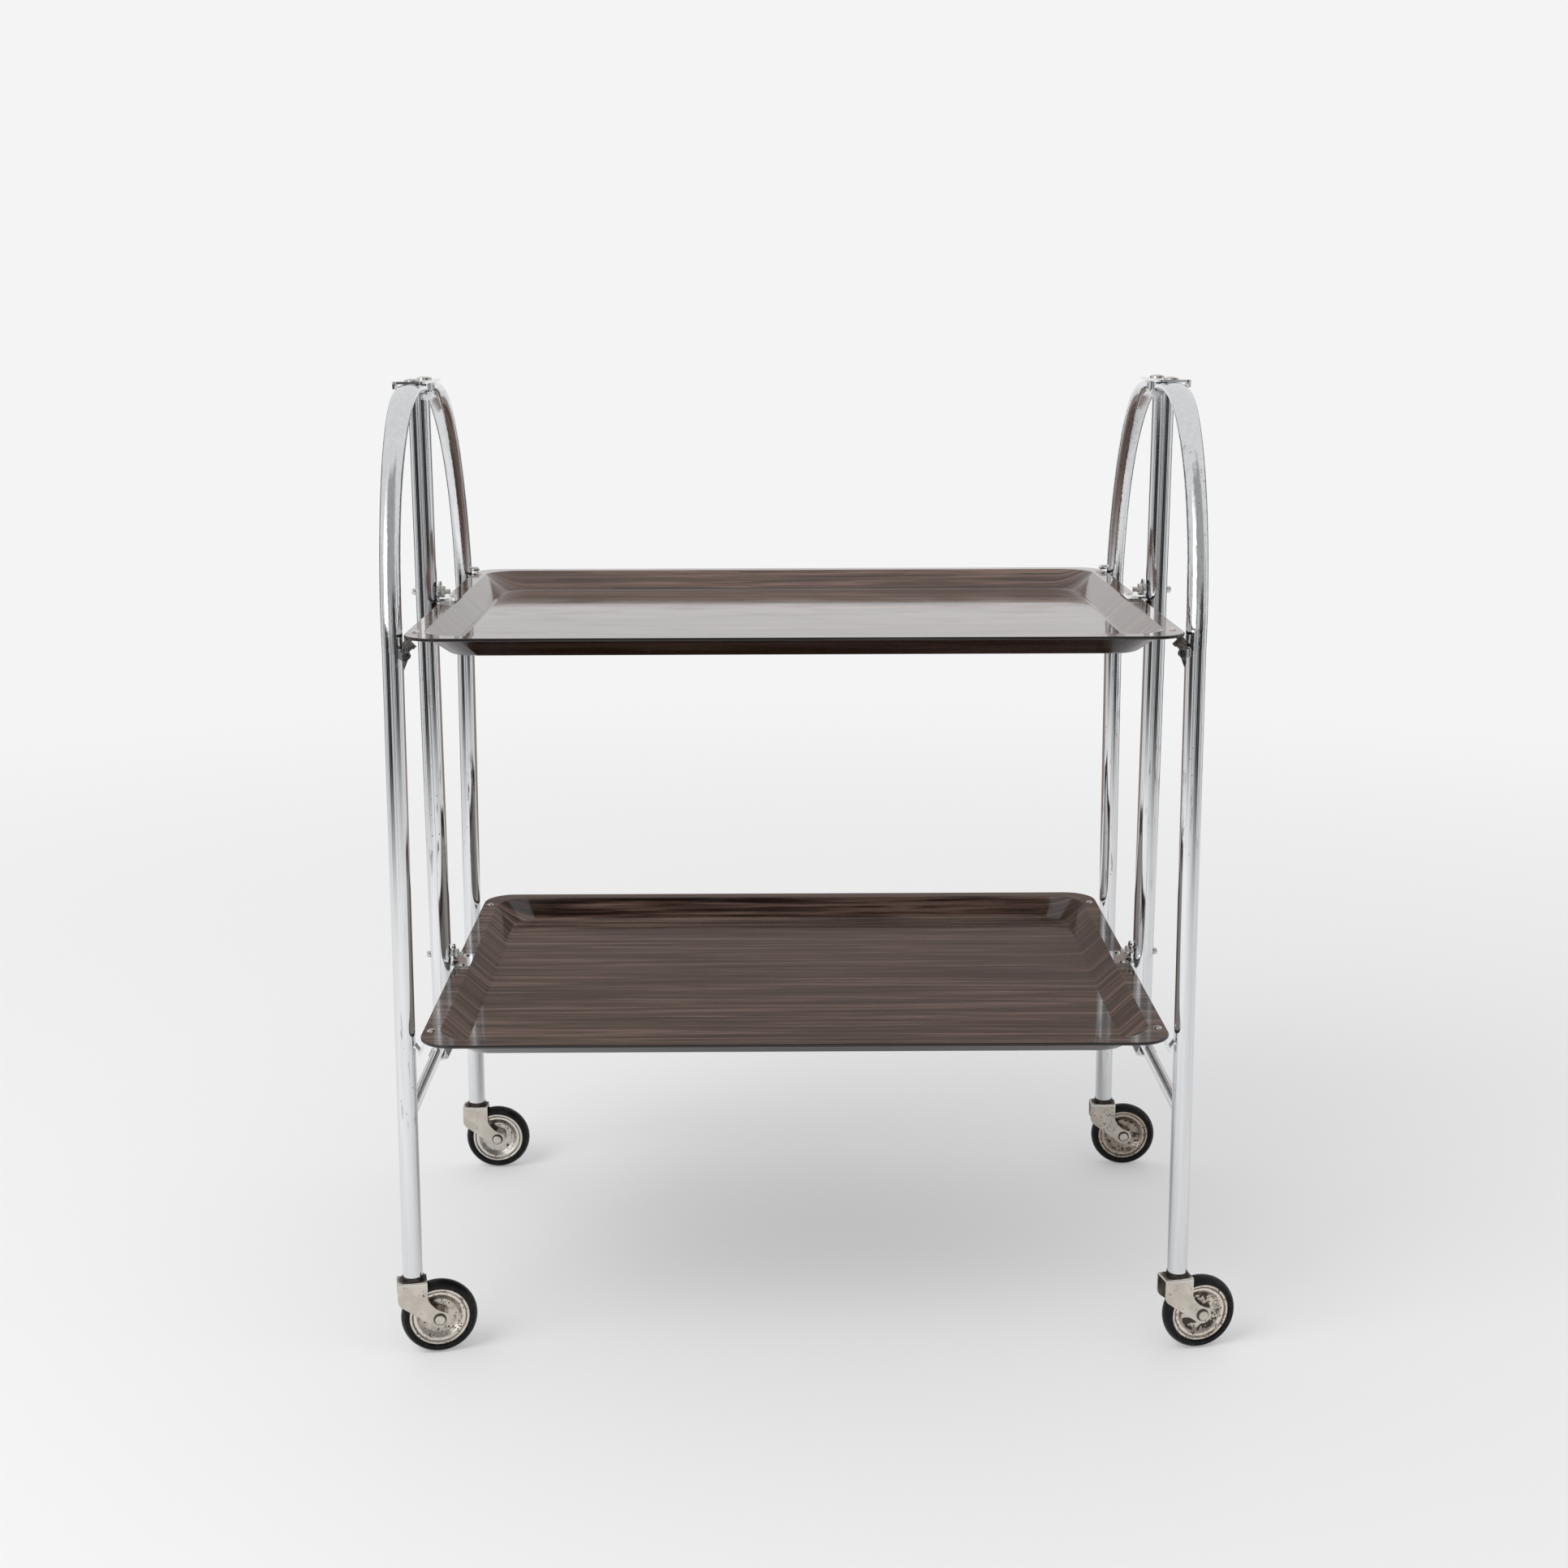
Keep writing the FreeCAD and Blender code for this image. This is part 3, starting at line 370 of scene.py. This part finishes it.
def chrome():
    """Old bright plating: smudges, long faint streaks, and dark specks and scratches where worn."""
    shader = Shader("chrome_tube")
    streaks = shader.noise((260, 260, 9), detail=5, roughness=0.65)
    smudges = shader.noise((28, 28, 12), detail=4)
    specks = shader.points((190, 190, 120), full=0.05, gone=0.11)
    scratches = shader.patches((430, 430, 34), start=0.62, full=0.68, level=0.7, detail=3,
                               distortion=0.5)
    marked = shader.patches((11, 11, 6), start=0.50, full=0.66, detail=2)
    dots = shader.times(shader.highest(specks, scratches), marked)
    smudged = shader.between(smudges, 0.40, 0.80, to_low=0.035, to_high=0.12)
    shader.set(Base_Color=shader.mix(dots, shader.ramp(streaks, CHROME_TINTS), CHROME_SPECK),
               Metallic=1.0, Roughness=shader.sum(smudged, shader.times(dots, 0.4)))
    shader.bump(shader.times(dots, -1.0), strength=0.12, depth=FINE_DEPTH)
    return shader.material


def rivet_steel():
    """Plated rivets, duller than the tubes, with dirt in patches."""
    shader = Shader("rivet_steel")
    dirt = shader.patches(420, start=0.52, full=0.72, detail=4)
    grain = shader.noise(900, detail=3)
    shader.set(Base_Color=shader.mix(dirt, RIVET_PLATE, RIVET_DIRT), Metallic=1.0,
               Roughness=shader.between(grain, 0.3, 0.7, to_low=0.14, to_high=0.34))
    shader.bump(grain, strength=0.2, depth=FINE_DEPTH)
    return shader.material


def woodgrain():
    """Gloss laminate printed as dark streaky wood, with grain along X and hairline scuffs.

    Each tray has its own cut of the grain, the same at all heights. The top tray is painted a paler
    brown as painted light, undersides get painted shade, and the bare edge is dark."""
    shader = Shader("woodgrain")
    parts = shader.parts(shader.place)
    tray = shader.between(parts["Z"], *BETWEEN_TRAYS, 0.0, TOP_TRAY_GRAIN)
    shader.place = shader.node("ShaderNodeCombineXYZ",
                               {0: parts["X"], 1: parts["Y"], 2: tray}).outputs[0]
    bands = shader.noise((1.8, 40, 40), detail=3, roughness=0.55, distortion=0.6)
    streaks = shader.noise((4.6, 175, 175), detail=6, roughness=0.66, distortion=0.4)
    pores = shader.patches((8, 420, 420), start=0.54, full=0.64, detail=4, roughness=0.65)
    hairs = shader.patches((34, 700, 700), start=0.72, full=0.78, detail=2, distortion=1.2)
    film = shader.noise((18, 40, 40), detail=4)
    figure = shader.sum(shader.times(bands, 0.3), shader.times(streaks, 0.7))
    wood = shader.ramp(figure, WOOD_TINTS)
    # Painted light: the top tray is mixed towards a paler brown.
    wood = shader.mix(shader.times(tray, TOP_TRAY_LIT), wood, WOOD_LIT)
    wood = shader.mix(shader.times(pores, 0.8), wood, WOOD_PORE)
    # Painted shade on the undersides, which share the dark colour of the bare edge.
    underside_shade = shader.fading(shader.upward(), *UNDERSIDE_TILT, UNDERSIDE_SHADE)
    wood = shader.mix(shader.highest(underside_shade, shader.cut_edge(parts)), wood, WOOD_BARE_AND_SHADE)
    shader.set(Base_Color=shader.mix(shader.times(hairs, 0.2), wood, WOOD_SCUFF),
               Roughness=shader.between(film, 0.35, 0.75, to_low=0.07, to_high=0.16),
               IOR=1.5, Coat_Weight=0.35, Coat_Roughness=0.04, Coat_IOR=1.5)
    relief = shader.sum(shader.times(streaks, 0.5), shader.times(pores, -0.4))
    shader.bump(relief, strength=0.06, depth=FINE_DEPTH)
    return shader.material


def pitted_metal(name, pit_share, wheel_joint, ring):
    """Aged nickel plate of a fork or axle: warm grey, with brown pits, and grime with painted shade
    in the corners.

    A fork's top is darker round its stem, a ring of painted shade lies round the axle's head, and
    the fold along a fork's top gets a painted highlight."""
    shader = Shader(name)
    clouds = shader.noise(70, detail=4)
    patches = shader.patches(120, start=0.62 - pit_share, full=0.80 - pit_share, detail=3)
    spots = shader.patches(620, start=0.56, full=0.63, detail=4, roughness=0.6)
    points = shader.points(250, full=0.12, gone=0.22)
    pits = shader.times(shader.between(shader.sum(spots, points), 0.3, 1.0), patches)
    # Dark marks: pits, painted shade in the corners and in the ring round the axle head, and the
    # darker patch round a fork's stem.
    marked = shader.highest(pits, shader.times(shader.grime_and_shade(), 0.95), shader.stem_dark_patch(clouds),
                          shader.ring(shader.off_axle(wheel_joint), *ring))
    # Painted highlight on the fold along a fork's top, where the dark marks are cleared.
    rubbed = shader.fold_highlight()
    marked = shader.times(marked, shader.less(1.0, rubbed))
    plating = shader.mix(shader.between(clouds, 0.32, 0.68), *NICKEL_TINTS)
    plating = shader.mix(rubbed, plating, NICKEL_HIGHLIGHT)
    clouded = shader.between(clouds, 0.3, 0.7, NICKEL_ROUGHNESS, NICKEL_ROUGHNESS + 0.14)
    shader.set(Base_Color=shader.mix(marked, plating, NICKEL_PIT_AND_SHADE),
               Metallic=shader.between(marked, *MARKED_DULLS),
               Roughness=shader.sum(clouded, shader.times(marked, 0.3)))
    relief = shader.sum(shader.times(clouds, 0.3), shader.times(pits, -1.0))
    shader.bump(relief, strength=0.45, depth=PIT_DEPTH)
    return shader.material


def wheel_disc(corner, wheel_place, pit_share, blotch_share, tint):
    """Stamped disc of a wheel: bead and flange painted brighter as a painted highlight, painted
    shade in the grooves, duller pitted dish.
    """
    shader = Shader("wheel_disc_" + corner)
    out = shader.vector("DISTANCE", shader.place, wheel_place)
    clouds = shader.noise(90, detail=4)
    patches = shader.patches(120, start=0.60 - pit_share, full=0.74 - pit_share, detail=3)
    points = shader.points(300, full=0.16, gone=0.26)
    spots = shader.patches(480, start=0.57, full=0.62, detail=4, roughness=0.6)
    blotches = shader.patches(210, start=0.66 - blotch_share, full=0.70 - blotch_share, detail=5,
                              roughness=0.6)
    dish = shader.fading(shader.sum(out, shader.times(clouds, DISC_DISH_RAGGED)), *DISC_DISH)
    patchy = shader.between(clouds, 0.25, 0.6, to_low=0.4)
    # Painted shade in the grooves, as rings round the wheel's centre.
    shade_rings = [shader.times(shader.ring(out, *ring), patchy) for ring in DISC_SHADE_RINGS]
    marked = shader.highest(shader.times(shader.highest(points, spots), patches),
                          shader.times(blotches, dish), *shade_rings)
    # Painted highlight: the bead and flange outside the dish are painted brighter than the dish.
    bright = tuple(DISC_RIM_HIGHLIGHT_GAIN * level for level in tint)
    dish_without_highlight = shader.times(dish, shader.between(clouds, 0.3, 0.7, to_low=0.3))
    shader.set(Base_Color=shader.mix(marked, shader.mix(dish_without_highlight, bright, tint), DISC_PIT_AND_SHADE),
               Metallic=shader.between(marked, *MARKED_DULLS),
               Roughness=shader.sum(shader.blend(dish, 0.08, 0.20), shader.times(marked, 0.35)))
    relief = shader.sum(shader.times(clouds, 0.2), shader.times(marked, -1.0))
    shader.bump(relief, strength=0.4, depth=PIT_DEPTH)
    return shader.material


def black_steel():
    """Blackened, greasy steel of the caster stems."""
    shader = Shader("black_steel")
    grease = shader.noise(380, detail=4)
    shader.set(Base_Color=shader.ramp(grease, STEM_TINTS), Metallic=0.6,
               Roughness=shader.between(grease, 0.3, 0.7, to_low=0.34, to_high=0.60))
    shader.bump(grease, strength=0.3, depth=GREASE_DEPTH)
    return shader.material


def rubber():
    """Black tyre rubber with a grey bloom of dust."""
    shader = Shader("tyre")
    dust = shader.patches(160, start=0.48, full=0.78, detail=5, roughness=0.65)
    shader.set(Base_Color=shader.mix(dust, TYRE_BLACK, TYRE_DUST), Specular_IOR_Level=0.18,
               Roughness=shader.between(dust, 0.0, 1.0, to_low=0.34, to_high=0.60))
    shader.bump(shader.noise(1500, detail=2), strength=0.25, depth=FINE_DEPTH)
    return shader.material


def black_lacquer():
    """Black lacquered sheet, chipped to bare metal in small places."""
    shader = Shader("black_lacquer")
    chips = shader.patches(520, start=0.66, full=0.70, detail=3)
    film = shader.noise(240, detail=4)
    shader.set(Base_Color=shader.mix(chips, LACQUER_BLACK, LACQUER_CHIP),
               Metallic=shader.times(chips, 0.9),
               Roughness=shader.between(film, 0.3, 0.7, to_low=0.22, to_high=0.42))
    relief = shader.sum(shader.times(film, 0.4), shader.times(chips, -0.6))
    shader.bump(relief, strength=0.3, depth=FINE_DEPTH)
    return shader.material


def latch_steel():
    """Dark steel of the latch levers, rubbed lighter on its faces and black in patches."""
    shader = Shader("latch_steel")
    rubbed = shader.noise(150, detail=4, roughness=0.6)
    spots = shader.patches(600, start=0.58, full=0.66, detail=3)
    shader.set(Base_Color=shader.mix(spots, shader.ramp(rubbed, LATCH_TINTS), LATCH_BLACK),
               Metallic=0.85,
               Roughness=shader.between(rubbed, 0.3, 0.7, to_low=0.42, to_high=0.26))
    relief = shader.sum(shader.times(rubbed, 0.4), shader.times(spots, -0.6))
    shader.bump(relief, strength=0.3, depth=FINE_DEPTH)
    return shader.material


def dress_nodes():
    """Give every CAD node a finish: its own, or else one shared by its slot."""
    shared = {
        "chrome_tube": chrome(),
        "rivet_steel": rivet_steel(),
        "woodgrain": woodgrain(),
        "tyre": rubber(),
        "black_lacquer": black_lacquer(),
        "black_steel": black_steel(),
        "latch_steel": latch_steel(),
    }
    own = {name: shared[finish] for name, finish in OTHER_FINISH.items()}
    joints = {joint["name"]: joint for joint in frame["record"]["behaviour"]["joints"]}
    for corner, wear in DISC_WEAR.items():
        wheel_joint = joints["roll_" + corner]
        own["caster_stem_" + corner] = shared["black_steel"]
        own["caster_disc_" + corner] = wheel_disc(corner, wheel_joint["pos_m"], *wear)
        # The fork and axle rings are painted shade round each axle head.
        for kind, ring in (("caster_fork_", FORK_SHADOW_RING), ("caster_axle_", AXLE_SHADE_RING)):
            name = kind + corner
            own[name] = pitted_metal(name, NICKEL_PITS[corner], wheel_joint, ring)
    for row in frame["record"]["subparts"]:
        name = row["node"]
        materials = frame["nodes"][name].data.materials
        materials.clear()
        materials.append(own.get(name) or shared[row["material_slot"]])


def make_floor():
    """Round pale floor that fades into the backdrop, and into the room for reflections."""
    bpy.ops.mesh.primitive_circle_add(vertices=FLOOR_CORNERS, radius=FLOOR_RADIUS,
                                      fill_type="NGON")
    floor = bpy.context.object
    floor.name = "floor"
    shader = Shader("floor")
    shader.set(Base_Color=(*FLOOR_COLOUR, 1.0), Roughness=0.7, Specular_IOR_Level=0.2)
    away = shader.vector("LENGTH", shader.vector("MULTIPLY", shader.place, (1, 1, 0)))
    rays = shader.node("ShaderNodeLightPath").outputs
    far = shader.times(shader.between(away, *FLOOR_FADE, to_low=FLOOR_LIFT), rays["Is Camera Ray"])
    mirrored = shader.times(shader.between(away, *FLOOR_TO_ROOM), rays["Is Glossy Ray"])
    deep = shader.between(away, *ROOM_DEEP, to_low=1.0, to_high=ROOM_DEEP_LEVEL)
    front = shader.fading(shader.parts(shader.place)["Y"], *ROOM_FRONT)
    room = shader.times(shader.room(shader.place), shader.blend(front, 1.0, deep))
    strength = shader.blend(rays["Is Glossy Ray"], 1.0, room)
    glow = shader.node("ShaderNodeEmission", {"Color": (*BACKDROP, 1.0), "Strength": strength})
    mixed = shader.node("ShaderNodeMixShader", {0: shader.sum(far, mirrored),
                                                1: shader.surface.outputs[0],
                                                2: glow.outputs[0]})
    shader.show(mixed.outputs[0])
    floor.data.materials.append(shader.material)


def make_world():
    """Pale for the camera, the room for reflections, and a plain dome as light for all else."""
    world = bpy.data.worlds.new("studio")
    bpy.context.scene.world = world
    world.use_nodes = True
    nodes = Nodes(world.node_tree)
    nodes.tree.nodes.clear()
    way = nodes.node("ShaderNodeTexCoord").outputs["Generated"]
    parts = nodes.parts(way)
    way_turn = nodes.turn(parts)

    def patch(turn, widths, heights):
        """Soft share of a part of the room, round a turn from the front and up to a height."""
        aside = nodes.size(nodes.less(way_turn, turn))
        return nodes.times(nodes.fading(aside, *widths), nodes.fading(parts["Z"], *heights))

    upper = nodes.blend(patch(**FAR_WALL), CEILING, FAR_WALL_LEVEL)
    mirrored = nodes.blend(nodes.between(parts["Z"], *HORIZON), nodes.room(way), upper)
    mirrored = nodes.blend(patch(**WINDOW), mirrored, WINDOW_LEVEL)
    rays = nodes.node("ShaderNodeLightPath").outputs
    seen = nodes.highest(rays["Is Camera Ray"], rays["Is Transmission Ray"])
    plain = nodes.blend(seen, DOME_STRENGTH, 1.0)
    strength = nodes.blend(rays["Is Glossy Ray"], plain, mirrored)
    background = nodes.node("ShaderNodeBackground", {"Color": (*BACKDROP, 1.0),
                                                     "Strength": strength})
    output = nodes.node("ShaderNodeOutputWorld")
    nodes.tree.links.new(background.outputs[0], output.inputs["Surface"])


def make_card():
    """Warm grey card behind the lower tray, seen by reflections only, with faded edges."""
    bpy.ops.mesh.primitive_plane_add(size=1.0, location=CARD_PLACE, rotation=(math.pi / 2, 0, 0))
    card = bpy.context.object
    card.name = "card"
    card.scale = (*CARD_SIZE, 1.0)
    shader = Shader("card")
    parts = shader.parts(shader.place)
    across, upright = (shader.fading(shader.size(parts[axis]), *fade)
                       for axis, fade in CARD_FADES.items())
    grey = shader.node("ShaderNodeEmission", {"Color": (*CARD_COLOUR, 1.0),
                                              "Strength": CARD_LEVEL})
    clear = shader.node("ShaderNodeBsdfTransparent")
    mixed = shader.node("ShaderNodeMixShader", {0: shader.times(across, upright),
                                                1: clear.outputs[0], 2: grey.outputs[0]})
    shader.show(mixed.outputs[0])
    card.data.materials.append(shader.material)
    card.visible_camera = False
    card.visible_diffuse = False
    card.visible_shadow = False


def make_lamp(name, place, aim, size, watts):
    """Square soft lamp; polished surfaces mirror the room's window in its stead."""
    data = bpy.data.lights.new(name, "AREA")
    data.size = size
    data.energy = watts
    lamp = bpy.data.objects.new(name, data)
    bpy.context.scene.collection.objects.link(lamp)
    lamp.visible_glossy = False
    lamp.location = place
    lamp.rotation_euler = (Vector(aim) - Vector(place)).to_track_quat("-Z", "Y").to_euler()


def make_camera():
    """Camera at the photograph's place and angle."""
    data = bpy.data.cameras.new("camera")
    data.sensor_width = SENSOR_WIDTH
    data.lens = FOCAL_PIXELS / PHOTO_SIZE * SENSOR_WIDTH
    camera = bpy.data.objects.new("camera", data)
    bpy.context.scene.collection.objects.link(camera)
    level = math.cos(CAMERA_PITCH)
    ahead = Vector((math.sin(CAMERA_YAW) * level, math.cos(CAMERA_YAW) * level,
                    -math.sin(CAMERA_PITCH)))
    right = Vector((math.cos(CAMERA_YAW), -math.sin(CAMERA_YAW), 0))
    up = right.cross(ahead)
    turned_right = right * math.cos(CAMERA_ROLL) + up * math.sin(CAMERA_ROLL)
    turned_up = up * math.cos(CAMERA_ROLL) - right * math.sin(CAMERA_ROLL)
    axes = Matrix((turned_right, turned_up, -ahead)).transposed()
    camera.matrix_world = Matrix.Translation(CAMERA_PLACE) @ axes.to_4x4()
    bpy.context.scene.camera = camera


dress_nodes()
make_floor()
make_card()
make_world()
make_lamp("key", place=(-1.6, -1.4, 2.4), aim=(0, 0, 0.4), size=1.6, watts=34)
make_lamp("fill", place=(0.6, -2.9, 1.1), aim=(0, 0, 0.2), size=1.8, watts=4)
make_camera()
bpy.context.scene.view_settings.view_transform = "Standard"
